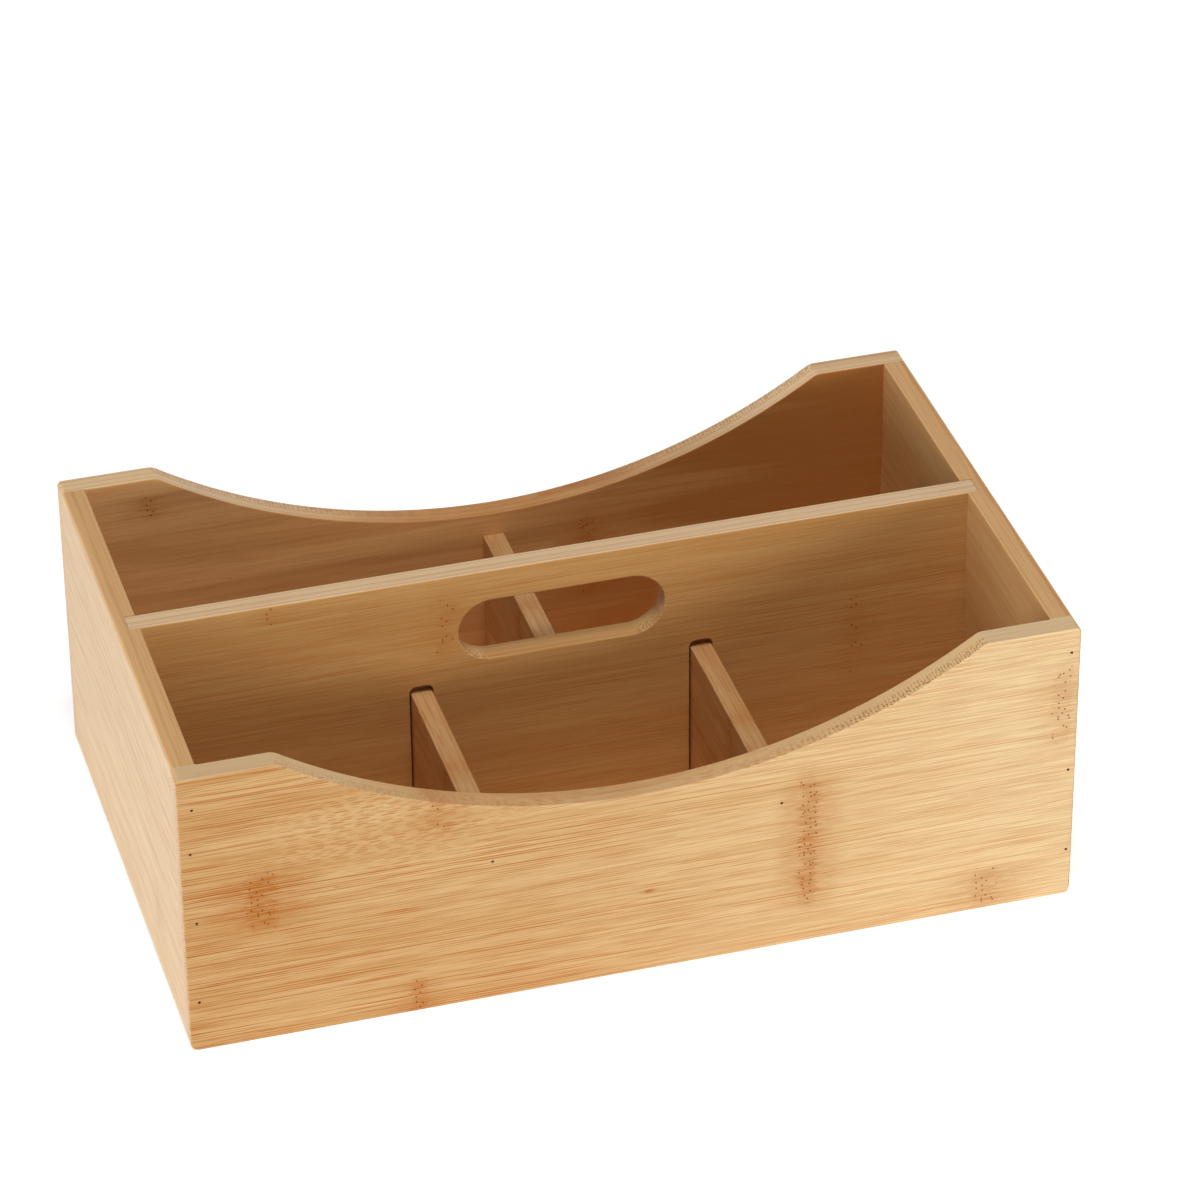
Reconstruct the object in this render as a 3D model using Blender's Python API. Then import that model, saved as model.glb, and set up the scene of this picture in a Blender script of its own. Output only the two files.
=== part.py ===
"""Bamboo compartment organizer: nine boards and the brads that hold them.

The front and rear panels are alike and run the full width. The end panels stand between them, the
base board sits in a groove cut round all four walls, the centre divider is housed in the end panels
and carries the handle slot, and the lower partitions are housed in the divider and nailed through
the panels. Metres, +Z up, the front faces -Y, and the origin is the middle of the footprint.
"""

import math

import bmesh
import bpy

# Assembled size
WIDTH = 0.320
DEPTH = 0.197
HEIGHT = 0.113

# Board stock
WALL_BOARD = 0.0085
PARTITION_BOARD = 0.0080
BASE_BOARD = 0.0050

# Fits and cuts
FIT_GAP = 0.0003
CUT_OVERRUN = 0.003
WELD_DISTANCE = 0.000002

# Front and rear panels
EAR_WIDTH = 0.035
SCOOP_DEPTH = 0.038
EAR_CORNER_RADIUS = 0.006

# Sanded edges
EDGE_RADIUS = 0.0010
RIM_RADIUS = 0.0016
FOOT_RADIUS = 0.0030

# Base board
BASE_LIFT = 0.0040
BASE_GROOVE_DEPTH = 0.0035

# Centre divider
DIVIDER_HOUSING_DEPTH = 0.0040
GRIP_HEIGHT = 0.0124
SLOT_LENGTH = 0.0760
SLOT_HEIGHT = 0.0244

# Partitions, from left to right in each row
FRONT_PARTITIONS = ("front_left_partition", "front_right_partition")
REAR_PARTITIONS = ("rear_partition",)
PARTITION_DROP = 0.0090
PARTITION_HOUSING_DEPTH = 0.0035
PARTITION_HOUSING_HEADROOM = 0.0033
PARTITION_HOUSING_RADIUS = 0.0028

# Brads
NAIL_RADIUS = 0.0004
NAIL_HEAD_RADIUS = 0.0005
NAIL_HEAD_HEIGHT = 0.0005
NAIL_POINT_LENGTH = 0.0020
NAIL_LENGTH = 0.0220
NAIL_SET_DEPTH = 0.0003

# Nails of each column: level as a share of the height, distance in from the side as a share of the wall
FRONT_LEFT_NAIL_SHARES = ((0.888, 0.58), (0.730, 0.42), (0.474, 0.52), (0.180, 0.44))
FRONT_RIGHT_NAIL_SHARES = ((0.914, 0.39), (0.476, 0.31), (0.171, 0.24))
REAR_NAIL_SHARES = ((0.900, 0.42), (0.475, 0.55), (0.175, 0.47))

# Level of each partition's nail, as a share of the level of the partition's top
FRONT_PARTITION_NAIL_SHARES = (0.876, 0.924)
REAR_PARTITION_NAIL_SHARES = (0.902,)

# Facets
SCOOP_STEPS = 32
CORNER_STEPS = 4
EDGE_SEGMENTS = 2
SLOT_END_STEPS = 14
NAIL_SIDES = 12
SMOOTH_ANGLE = math.radians(35)

# Finishes: red, green, blue, roughness, metallic
BAMBOO_FACE = (0.70, 0.45, 0.21, 0.52, 0.0)
BAMBOO_SIDE = (0.74, 0.53, 0.31, 0.55, 0.0)
BAMBOO_INNER = (0.62, 0.38, 0.17, 0.56, 0.0)
NAIL_STEEL = (0.05, 0.03, 0.02, 0.45, 0.8)

# Places worked out from the sizes above
INNER_HALF_WIDTH = WIDTH / 2 - WALL_BOARD
INNER_HALF_DEPTH = DEPTH / 2 - WALL_BOARD
BASE_TOP = BASE_LIFT + BASE_BOARD
BOARD_FOOT = BASE_TOP + FIT_GAP
PARTITION_TOP = HEIGHT - SCOOP_DEPTH - PARTITION_DROP
PARTITION_LENGTH = INNER_HALF_DEPTH - WALL_BOARD / 2 + PARTITION_HOUSING_DEPTH - 2 * FIT_GAP
END_PANEL_LENGTH = 2 * (INNER_HALF_DEPTH - FIT_GAP)


def clear_scene():
    """Remove whatever the file was opened with."""
    for item in list(bpy.data.objects):
        bpy.data.objects.remove(item, do_unlink=True)


def make_finish(name, finish):
    """Principled material from one row of finish values."""
    red, green, blue, roughness, metallic = finish
    material = bpy.data.materials.new(name)
    material.use_nodes = True
    shader = material.node_tree.nodes["Principled BSDF"]
    shader.inputs["Base Color"].default_value = (red, green, blue, 1.0)
    shader.inputs["Roughness"].default_value = roughness
    shader.inputs["Metallic"].default_value = metallic
    material.diffuse_color = (red, green, blue, 1.0)
    return material


def to_mesh(name, shape):
    """Turn a bmesh into a mesh with outward faces and smooth rounds."""
    bmesh.ops.recalc_face_normals(shape, faces=shape.faces)
    mesh = bpy.data.meshes.new(name)
    shape.to_mesh(mesh)
    shape.free()
    mesh.shade_smooth()
    mesh.set_sharp_from_angle(angle=SMOOTH_ANGLE)
    return mesh


def place(name, mesh, location, turned):
    """Put a mesh in the scene, turned half way round for the rear or right-hand copy."""
    item = bpy.data.objects.new(name, mesh)
    bpy.context.scene.collection.objects.link(item)
    item.location = location
    item.rotation_euler = (0.0, 0.0, math.pi if turned else 0.0)
    return item


def place_piece(name, mesh, finish, location, turned=False):
    """Place a real piece, with its own material, under the organizer's root."""
    own_mesh = mesh.copy()
    own_mesh.materials.append(make_finish(name + "_finish", finish))
    item = place(name, own_mesh, location, turned)
    item.parent = bpy.data.objects["organizer"]
    return item


def place_cutter(name, mesh, location, turned=False):
    """Place a cutting guide, which is not a piece of the organizer."""
    item = place(name, mesh, location, turned)
    item.hide_render = True
    item.display_type = "WIRE"
    return item


def cut(board, cutter):
    """Cut one guide out of a board."""
    modifier = board.modifiers.new("cut_" + cutter.name, "BOOLEAN")
    modifier.operation = "DIFFERENCE"
    modifier.solver = "EXACT"
    modifier.object = cutter


def arc(centre, radius, start, end, steps):
    """Points along an arc of a flat outline, between two angles in degrees."""
    angles = [math.radians(start + (end - start) * step / steps) for step in range(steps + 1)]
    return [(centre[0] + radius * math.cos(a), centre[1] + radius * math.sin(a)) for a in angles]


def extrude_outline(outline, thickness):
    """Push an outline in X and Z along +Y into a closed board."""
    shape = bmesh.new()
    face = shape.faces.new([shape.verts.new((x, 0.0, z)) for x, z in outline])
    pushed = bmesh.ops.extrude_face_region(shape, geom=[face])
    moved = [item for item in pushed["geom"] if isinstance(item, bmesh.types.BMVert)]
    bmesh.ops.translate(shape, verts=moved, vec=(0.0, thickness, 0.0))
    return shape


def edges_where(shape, wanted):
    """Edges whose two ends both pass a test."""
    return [edge for edge in shape.edges if all(wanted(vert.co) for vert in edge.verts)]


def ease(shape, edges):
    """Round over the chosen edges."""
    bmesh.ops.bevel(
        shape, geom=edges, offset=EDGE_RADIUS, offset_type="OFFSET", segments=EDGE_SEGMENTS,
        profile=0.5, affect="EDGES", clamp_overlap=True, material=-1,
    )


def box(low, high):
    """Closed box between two corners."""
    outline = [(low[0], low[2]), (high[0], low[2]), (high[0], high[2]), (low[0], high[2])]
    shape = extrude_outline(outline, high[1] - low[1])
    bmesh.ops.translate(shape, verts=shape.verts, vec=(0.0, low[1], 0.0))
    return shape


def loft(sections):
    """Join sections, each a place along +Y and an outline in X and Z, into one closed shape."""
    shape = bmesh.new()
    rings = [[shape.verts.new((x, along, z)) for x, z in outline] for along, outline in sections]
    for near, far in zip(rings, rings[1:]):
        for index in range(len(near)):
            shape.faces.new((near[index - 1], near[index], far[index], far[index - 1]))
    shape.faces.new(rings[0])
    shape.faces.new(rings[-1])
    return shape


def quarter_round():
    """Steps of a rounded edge: distance in from the face, and distance in from the side."""
    angles = [math.radians(90 * step / EDGE_SEGMENTS) for step in range(EDGE_SEGMENTS + 1)]
    return [(EDGE_RADIUS * (1 - math.sin(a)), EDGE_RADIUS * (1 - math.cos(a))) for a in angles]


def turn_profile(profile):
    """Spin a profile of radius and place along +Y into a round solid."""
    shape = bmesh.new()
    verts = [shape.verts.new((radius, along, 0.0)) for radius, along in profile]
    edges = [shape.edges.new(pair) for pair in zip(verts, verts[1:])]
    bmesh.ops.spin(
        shape, geom=verts + edges, cent=(0.0, 0.0, 0.0), axis=(0.0, 1.0, 0.0),
        angle=math.tau, steps=NAIL_SIDES, use_merge=True,
    )
    bmesh.ops.remove_doubles(shape, verts=shape.verts, dist=WELD_DISTANCE)
    return shape


def scooped_outline(side_inset, scoop_inset):
    """Outline of the front and rear panels: square foot, two ears and one wide arc between them."""
    half_chord = WIDTH / 2 - EAR_WIDTH
    radius = (half_chord ** 2 + SCOOP_DEPTH ** 2) / (2 * SCOOP_DEPTH)
    arc_height = HEIGHT - SCOOP_DEPTH + radius
    ear_height = HEIGHT - EAR_CORNER_RADIUS
    ear_side = math.sqrt((radius + EAR_CORNER_RADIUS) ** 2 - (arc_height - ear_height) ** 2)
    lean = math.degrees(math.atan2(arc_height - ear_height, ear_side))
    foot = WIDTH / 2 - FOOT_RADIUS
    rim = WIDTH / 2 - RIM_RADIUS
    foot_round = FOOT_RADIUS - side_inset
    rim_round = RIM_RADIUS - side_inset
    ear_round = EAR_CORNER_RADIUS - scoop_inset
    ear_end = INNER_HALF_WIDTH - EDGE_RADIUS
    return (
        arc((-foot, FOOT_RADIUS), foot_round, 180, 270, CORNER_STEPS)
        + arc((foot, FOOT_RADIUS), foot_round, 270, 360, CORNER_STEPS)
        + arc((rim, HEIGHT - RIM_RADIUS), rim_round, 0, 90, CORNER_STEPS)
        + [(INNER_HALF_WIDTH, HEIGHT - side_inset), (ear_end, HEIGHT - scoop_inset)]
        + arc((ear_side, ear_height), ear_round, 90, 180 - lean, CORNER_STEPS)[:-1]
        + arc((0.0, arc_height), radius + scoop_inset, -lean, lean - 180, SCOOP_STEPS)
        + arc((-ear_side, ear_height), ear_round, lean, 90, CORNER_STEPS)[1:]
        + [(-ear_end, HEIGHT - scoop_inset), (-INNER_HALF_WIDTH, HEIGHT - side_inset)]
        + arc((-rim, HEIGHT - RIM_RADIUS), rim_round, 90, 180, CORNER_STEPS)
    )


def scooped_panel_mesh():
    """Front or rear panel, outer face at Y = 0, rounded over outside and along the scoop inside."""
    outside = [(face, scooped_outline(side, side)) for face, side in reversed(quarter_round())]
    inside = [(WALL_BOARD - face, scooped_outline(0.0, side)) for face, side in quarter_round()]
    return to_mesh("scooped_panel", loft(outside + inside))


def end_panel_mesh():
    """End panel, outer face at X = 0, with its sanded rim and foot drawn in the section."""
    outline = (
        arc((FOOT_RADIUS, FOOT_RADIUS), FOOT_RADIUS, 180, 270, CORNER_STEPS)
        + [(WALL_BOARD, 0.0)]
        + arc((WALL_BOARD - EDGE_RADIUS, HEIGHT - EDGE_RADIUS), EDGE_RADIUS, 0, 90, EDGE_SEGMENTS)
        + arc((RIM_RADIUS, HEIGHT - RIM_RADIUS), RIM_RADIUS, 90, 180, CORNER_STEPS)
    )
    shape = extrude_outline(outline, END_PANEL_LENGTH)
    bmesh.ops.translate(shape, verts=shape.verts, vec=(0.0, -END_PANEL_LENGTH / 2, 0.0))
    return to_mesh("end_panel", shape)


def slab_mesh(name, low, high):
    """Square-edged board between two corners."""
    return to_mesh(name, box(low, high))


def eased_slab_mesh(name, low, high):
    """Board between two corners with the long edges of its top rounded over."""
    shape = box(low, high)
    rim = edges_where(shape, lambda point: point.z > high[2] - WELD_DISTANCE)
    shortest = min(edge.calc_length() for edge in rim)
    ease(shape, [edge for edge in rim if edge.calc_length() > shortest + WELD_DISTANCE])
    return to_mesh(name, shape)


def slot_cutter_mesh():
    """Long round-ended plug that flares at both faces of the divider, for the handle slot."""
    radius = SLOT_HEIGHT / 2
    straight = SLOT_LENGTH / 2 - radius
    flare = [(WALL_BOARD / 2 - face, side) for face, side in quarter_round()]
    flare.append((WALL_BOARD / 2 + CUT_OVERRUN, EDGE_RADIUS))
    sections = []
    for along, grow in [(-along, grow) for along, grow in reversed(flare)] + flare:
        outline = (
            arc((straight, 0.0), radius + grow, -90, 90, SLOT_END_STEPS)
            + arc((-straight, 0.0), radius + grow, 90, 270, SLOT_END_STEPS)
        )
        sections.append((along, outline))
    return to_mesh("slot_cutter", loft(sections))


def partition_housing_mesh():
    """Round-cornered groove cutter for one partition end, entering the divider along +Y."""
    half = PARTITION_BOARD / 2 + FIT_GAP
    top = PARTITION_TOP + PARTITION_HOUSING_HEADROOM
    corner = half - PARTITION_HOUSING_RADIUS
    shoulder = top - PARTITION_HOUSING_RADIUS
    outline = (
        [(-half, BASE_TOP - CUT_OVERRUN), (half, BASE_TOP - CUT_OVERRUN)]
        + arc((corner, shoulder), PARTITION_HOUSING_RADIUS, 0, 90, CORNER_STEPS)
        + arc((-corner, shoulder), PARTITION_HOUSING_RADIUS, 90, 180, CORNER_STEPS)
    )
    return to_mesh("partition_housing", extrude_outline(outline, PARTITION_HOUSING_DEPTH + CUT_OVERRUN))


def nail_mesh():
    """Brad with a flat head, a round shank and a point, driven along +Y."""
    profile = [
        (0.0, 0.0),
        (NAIL_HEAD_RADIUS, 0.0),
        (NAIL_HEAD_RADIUS, NAIL_HEAD_HEIGHT),
        (NAIL_RADIUS, NAIL_HEAD_HEIGHT),
        (NAIL_RADIUS, NAIL_LENGTH - NAIL_POINT_LENGTH),
        (0.0, NAIL_LENGTH),
    ]
    return to_mesh("brad", turn_profile(profile))


def nail_hole_mesh():
    """Hole for one brad: a sunk seat for the head and a bore for the shank."""
    seat = NAIL_HEAD_HEIGHT + FIT_GAP
    profile = [
        (0.0, -NAIL_SET_DEPTH - CUT_OVERRUN),
        (NAIL_HEAD_RADIUS + FIT_GAP, -NAIL_SET_DEPTH - CUT_OVERRUN),
        (NAIL_HEAD_RADIUS + FIT_GAP, seat),
        (NAIL_RADIUS + FIT_GAP, seat),
        (NAIL_RADIUS + FIT_GAP, NAIL_LENGTH - NAIL_POINT_LENGTH + FIT_GAP),
        (0.0, NAIL_LENGTH + FIT_GAP),
    ]
    return to_mesh("nail_hole", turn_profile(profile))


def partition_sides(partitions):
    """Middles of the partitions that split the inner width into equal compartments."""
    clear_width = (2 * INNER_HALF_WIDTH - partitions * PARTITION_BOARD) / (partitions + 1)
    pitch = clear_width + PARTITION_BOARD
    first = -INNER_HALF_WIDTH + clear_width + PARTITION_BOARD / 2
    return [first + index * pitch for index in range(partitions)]


def make_walls():
    """Front, rear, left and right walls."""
    panel = scooped_panel_mesh()
    end = end_panel_mesh()
    return {
        "front_panel": place_piece("front_panel", panel, BAMBOO_FACE, (0.0, -DEPTH / 2, 0.0)),
        "rear_panel": place_piece("rear_panel", panel, BAMBOO_FACE, (0.0, DEPTH / 2, 0.0), True),
        "left_end_panel": place_piece("left_end_panel", end, BAMBOO_SIDE, (-WIDTH / 2, 0.0, 0.0)),
        "right_end_panel": place_piece("right_end_panel", end, BAMBOO_SIDE, (WIDTH / 2, 0.0, 0.0), True),
    }


def make_base(walls):
    """Base board, and the groove for it round the four walls."""
    half_x = INNER_HALF_WIDTH + BASE_GROOVE_DEPTH - FIT_GAP
    half_y = INNER_HALF_DEPTH + BASE_GROOVE_DEPTH - FIT_GAP
    board = slab_mesh("base_board", (-half_x, -half_y, BASE_LIFT), (half_x, half_y, BASE_TOP))
    place_piece("base_board", board, BAMBOO_INNER, (0.0, 0.0, 0.0))
    groove = slab_mesh(
        "base_groove",
        (-half_x - FIT_GAP, -half_y - FIT_GAP, BASE_LIFT - FIT_GAP),
        (half_x + FIT_GAP, half_y + FIT_GAP, BASE_TOP + FIT_GAP),
    )
    cutter = place_cutter("base_groove", groove, (0.0, 0.0, 0.0))
    for wall in walls.values():
        cut(wall, cutter)


def make_divider(walls):
    """Centre divider with its handle slot, and its housings in the end panels."""
    half_x = INNER_HALF_WIDTH + DIVIDER_HOUSING_DEPTH - FIT_GAP
    half_y = WALL_BOARD / 2
    board = eased_slab_mesh("centre_divider", (-half_x, -half_y, BOARD_FOOT), (half_x, half_y, HEIGHT))
    divider = place_piece("centre_divider", board, BAMBOO_INNER, (0.0, 0.0, 0.0))
    slot_height = HEIGHT - GRIP_HEIGHT - SLOT_HEIGHT / 2
    cut(divider, place_cutter("handle_slot", slot_cutter_mesh(), (0.0, 0.0, slot_height)))
    housing = slab_mesh(
        "divider_housing",
        (-half_x - FIT_GAP, -half_y - FIT_GAP, BASE_TOP),
        (half_x + FIT_GAP, half_y + FIT_GAP, HEIGHT + CUT_OVERRUN),
    )
    cutter = place_cutter("divider_housing", housing, (0.0, 0.0, 0.0))
    cut(walls["left_end_panel"], cutter)
    cut(walls["right_end_panel"], cutter)
    return divider


def make_partitions(divider, names, rear):
    """One row of partitions, each with its housing in the divider."""
    half = PARTITION_BOARD / 2
    board = eased_slab_mesh("partition", (-half, 0.0, BOARD_FOOT), (half, PARTITION_LENGTH, PARTITION_TOP))
    housing = partition_housing_mesh()
    side = 1 if rear else -1
    placed = []
    for name, place_x in zip(names, partition_sides(len(names))):
        panel_end = (place_x, side * (INNER_HALF_DEPTH - FIT_GAP), 0.0)
        mouth = (place_x, side * (WALL_BOARD / 2 + CUT_OVERRUN), 0.0)
        placed.append(place_piece(name, board, BAMBOO_INNER, panel_end, turned=rear))
        cut(divider, place_cutter(name + "_housing", housing, mouth, turned=rear))
    return placed


def drive_nail(name, meshes, panel, held, place_x, level, rear):
    """Seat one brad through a panel into the board behind it."""
    nail, hole = meshes
    side = 1 if rear else -1
    head = (place_x, side * (DEPTH / 2 - NAIL_SET_DEPTH), level)
    place_piece(name, nail, NAIL_STEEL, head, turned=rear)
    cutter = place_cutter(name + "_hole", hole, head, turned=rear)
    cut(panel, cutter)
    cut(held, cutter)


def make_end_nails(meshes, walls):
    """Nail columns that hold the panels to the end panels."""
    columns = (
        ("front_left_nail", "front_panel", "left_end_panel", -1, FRONT_LEFT_NAIL_SHARES, False),
        ("front_right_nail", "front_panel", "right_end_panel", 1, FRONT_RIGHT_NAIL_SHARES, False),
        ("rear_left_nail", "rear_panel", "left_end_panel", -1, REAR_NAIL_SHARES, True),
        ("rear_right_nail", "rear_panel", "right_end_panel", 1, REAR_NAIL_SHARES, True),
    )
    for name, panel, held, side, nail_shares, rear in columns:
        for number, (level_share, side_share) in enumerate(nail_shares, start=1):
            place_x = side * (WIDTH / 2 - side_share * WALL_BOARD)
            level = level_share * HEIGHT
            drive_nail(f"{name}_{number}", meshes, walls[panel], walls[held], place_x, level, rear)


def make_partition_nails(meshes, panel, partitions, level_shares, rear):
    """One nail through the panel into the end of each partition."""
    for partition, level_share in zip(partitions, level_shares):
        name = partition.name + "_nail"
        level = level_share * PARTITION_TOP
        drive_nail(name, meshes, panel, partition, partition.location.x, level, rear)


def main():
    """Build the whole organizer."""
    clear_scene()
    root = bpy.data.objects.new("organizer", None)
    bpy.context.scene.collection.objects.link(root)
    walls = make_walls()
    make_base(walls)
    divider = make_divider(walls)
    front = make_partitions(divider, FRONT_PARTITIONS, rear=False)
    rear = make_partitions(divider, REAR_PARTITIONS, rear=True)
    meshes = (nail_mesh(), nail_hole_mesh())
    make_end_nails(meshes, walls)
    make_partition_nails(meshes, walls["front_panel"], front, FRONT_PARTITION_NAIL_SHARES, rear=False)
    make_partition_nails(meshes, walls["rear_panel"], rear, REAR_PARTITION_NAIL_SHARES, rear=True)


if __name__ == "__main__":
    main()
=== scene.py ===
"""Bamboo compartment organizer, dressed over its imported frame.

The four walls, the divider and the partitions are modelled again as boards with finer edges and close joints.
Every board is cut from solid bamboo: its fibre bundles run through the whole board, so they show as lines on
the faces, as dashes where they rise and dip through a face and as dots in the end grain. The frame is in metres,
with X along the long side, Y from front to rear and Z up.
"""

import enum
import logging
import math
from dataclasses import asdict, dataclass, field
from types import SimpleNamespace
from typing import ClassVar, Iterable, Mapping, Sequence, Union

import bmesh
import bpy
from bmesh.types import BMEdge, BMesh, BMVert
from bpy.types import ID, Material, Node, NodeSocket, NodeTree, Object
from mathutils import Matrix, Vector


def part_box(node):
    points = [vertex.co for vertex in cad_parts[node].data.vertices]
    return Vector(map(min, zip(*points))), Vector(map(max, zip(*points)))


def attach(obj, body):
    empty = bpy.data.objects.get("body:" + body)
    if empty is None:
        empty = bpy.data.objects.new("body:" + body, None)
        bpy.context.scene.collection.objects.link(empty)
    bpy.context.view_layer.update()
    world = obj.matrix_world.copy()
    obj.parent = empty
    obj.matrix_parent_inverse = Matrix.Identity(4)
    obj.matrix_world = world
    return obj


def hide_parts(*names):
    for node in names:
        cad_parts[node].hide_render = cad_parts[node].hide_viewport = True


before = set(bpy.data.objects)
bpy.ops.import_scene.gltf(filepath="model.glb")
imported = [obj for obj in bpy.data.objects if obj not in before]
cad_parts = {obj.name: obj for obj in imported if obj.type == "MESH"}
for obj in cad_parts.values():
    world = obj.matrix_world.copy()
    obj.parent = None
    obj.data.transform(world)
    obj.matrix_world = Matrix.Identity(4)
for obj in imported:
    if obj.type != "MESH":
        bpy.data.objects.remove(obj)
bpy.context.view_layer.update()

LOG = logging.getLogger("organizer")
BODY = "root"

MM = 0.001
SEAM = 0.06 * MM
SHARP_ANGLE = math.radians(40.0)
QUARTER = 90.0

Colour = tuple[float, float, float]
Pair = tuple[float, float]
Triple = tuple[float, float, float]
Value = Union[float, Sequence[float], "Wire"]


def tint(red: int, green: int, blue: int) -> Colour:
    """Turn a colour read from a screen, from 0 to 255, into the linear light that shaders use."""
    shares = (red / 255.0, green / 255.0, blue / 255.0)
    return tuple(s / 12.92 if s <= 0.04045 else ((s + 0.055) / 1.055) ** 2.4 for s in shares)


class FibreRun(enum.Enum):
    """Which way the fibres of a board run in the organizer."""

    ALONG_X = "x"
    ALONG_Y = "y"


class Side(enum.Enum):
    """Which side of the organizer a board stands on, as its axis and the sign on it."""

    FRONT = ("Y", -1.0)
    REAR = ("Y", 1.0)
    LEFT = ("X", -1.0)
    RIGHT = ("X", 1.0)

    @property
    def sign(self) -> float:
        """Sign of the side on its axis."""
        return self.value[1]


# Drawing meshes


@dataclass(frozen=True)
class Turn:
    """One round stretch of an upright outline, or a sharp corner where the radius is zero.

    Attributes:
        x: Centre of the turn across the outline.
        z: Height of that centre.
        radius: Radius of the turn.
        start: Angle at which it starts, in degrees from +X towards +Z.
        sweep: Angle that it turns through, in degrees.
        steps: How many straight edges it has.
    """

    x: float
    z: float
    radius: float = 0.0
    start: float = 0.0
    sweep: float = 0.0
    steps: int = 1


def add_object(name: str, data: ID) -> Object:
    """Make an object and put it in the scene.

    Args:
        name: Name of the object.
        data: Its mesh, lamp or camera.

    Returns:
        The object.
    """
    made = bpy.data.objects.new(name, data)
    bpy.context.scene.collection.objects.link(made)
    return made


def add_mesh(name: str, bm: BMesh) -> Object:
    """Make an object of a drawn mesh.

    Args:
        name: Name of the object and of its mesh.
        bm: The drawn mesh, which is freed.

    Returns:
        The object.
    """
    mesh = bpy.data.meshes.new(name)
    bm.to_mesh(mesh)
    bm.free()
    return add_object(name, mesh)


def new_edges(bm: BMesh, known: set[BMEdge]) -> list[BMEdge]:
    """List the edges that a mesh has gained since a set of its edges was taken."""
    return [edge for edge in bm.edges if edge not in known]


def draw_loop(bm: BMesh, y: float, turns: Sequence[Turn]) -> list[BMEdge]:
    """Draw a closed upright outline, spinning one vertex through each round stretch.

    Args:
        bm: Mesh to draw in.
        y: Depth of the outline's plane.
        turns: Its stretches, in order.

    Returns:
        The outline's edges.
    """
    known = set(bm.edges)
    ends: list[tuple[BMVert, BMVert]] = []
    for turn in turns:
        angle = math.radians(turn.start)
        start = bm.verts.new((turn.x + turn.radius * math.cos(angle), y, turn.z + turn.radius * math.sin(angle)))
        last = start
        if turn.radius > 0.0:
            spun = bmesh.ops.spin(
                bm, geom=[start], cent=(turn.x, y, turn.z), axis=(0.0, -1.0, 0.0),
                angle=math.radians(turn.sweep), steps=turn.steps,
            )
            last = next(item for item in spun["geom_last"] if isinstance(item, BMVert))
        ends.append((start, last))
    for (_, last), (start, _) in zip(ends, ends[1:] + ends[:1]):
        bm.edges.new((last, start))
    return new_edges(bm, known)


def draw_circle(bm: BMesh, centre: Vector, radius: float, segments: int) -> list[BMEdge]:
    """Draw an upright circle.

    Args:
        bm: Mesh to draw in.
        centre: Centre of the circle.
        radius: Its radius.
        segments: How many edges it has.

    Returns:
        The circle's edges.
    """
    known = set(bm.edges)
    place = Matrix.Translation(centre) @ Matrix.Rotation(math.pi / 2, 4, "X")
    bmesh.ops.create_circle(bm, cap_ends=False, segments=segments, radius=radius, matrix=place)
    return new_edges(bm, known)


def bridge(bm: BMesh, loops: Sequence[list[BMEdge]]) -> None:
    """Skin over a row of loops, each to the next."""
    for near, far in zip(loops, loops[1:]):
        bmesh.ops.bridge_loops(bm, edges=near + far)


def cap(bm: BMesh, outline: list[BMEdge], holes: Iterable[list[BMEdge]] = ()) -> None:
    """Close an upright outline with flat faces, left open at its holes."""
    edges = outline + [edge for hole in holes for edge in hole]
    bmesh.ops.triangle_fill(bm, use_beauty=True, use_dissolve=False, edges=edges, normal=(0.0, 1.0, 0.0))


def sink(bm: BMesh, rim: list[BMEdge], depth: float) -> None:
    """Sink a closed pocket from its rim along Y.

    Args:
        bm: Mesh that holds the rim.
        rim: Edges round the pocket's mouth.
        depth: How far its floor lies from the mouth, with its sign.
    """
    pushed = bmesh.ops.extrude_edge_only(bm, edges=rim)["geom"]
    floor_verts = [item for item in pushed if isinstance(item, BMVert)]
    bmesh.ops.translate(bm, verts=floor_verts, vec=(0.0, depth, 0.0))
    rim_verts = {vert for edge in rim for vert in edge.verts}
    pushed_edges = [item for item in pushed if isinstance(item, BMEdge)]
    cap(bm, [edge for edge in pushed_edges if not rim_verts.intersection(edge.verts)])


def round_over(bm: BMesh, edges: list[BMEdge], radius: float, segments: int) -> None:
    """Round over chosen edges of a mesh."""
    bmesh.ops.bevel(
        bm, geom=edges, offset=radius, offset_type="OFFSET", segments=segments,
        profile=0.5, affect="EDGES", clamp_overlap=True, material=-1,
    )


def list_stations(thickness: float, radius: float, segments: int) -> list[Pair]:
    """List where a board is drawn through its thickness, so that its edges on both faces are rounded.

    Args:
        thickness: Thickness of the board.
        radius: Radius of its edges.
        segments: How many steps each takes.

    Returns:
        Pairs of the distance from the first face and how far the outline is set in there.
    """
    angles = [math.pi / 2 * step / segments for step in range(segments + 1)]
    edge = [(radius * (1.0 - math.sin(a)), radius * (1.0 - math.cos(a))) for a in angles]
    return [*reversed(edge), *((thickness - deep, inset) for deep, inset in edge)]


# Shader nodes


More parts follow.
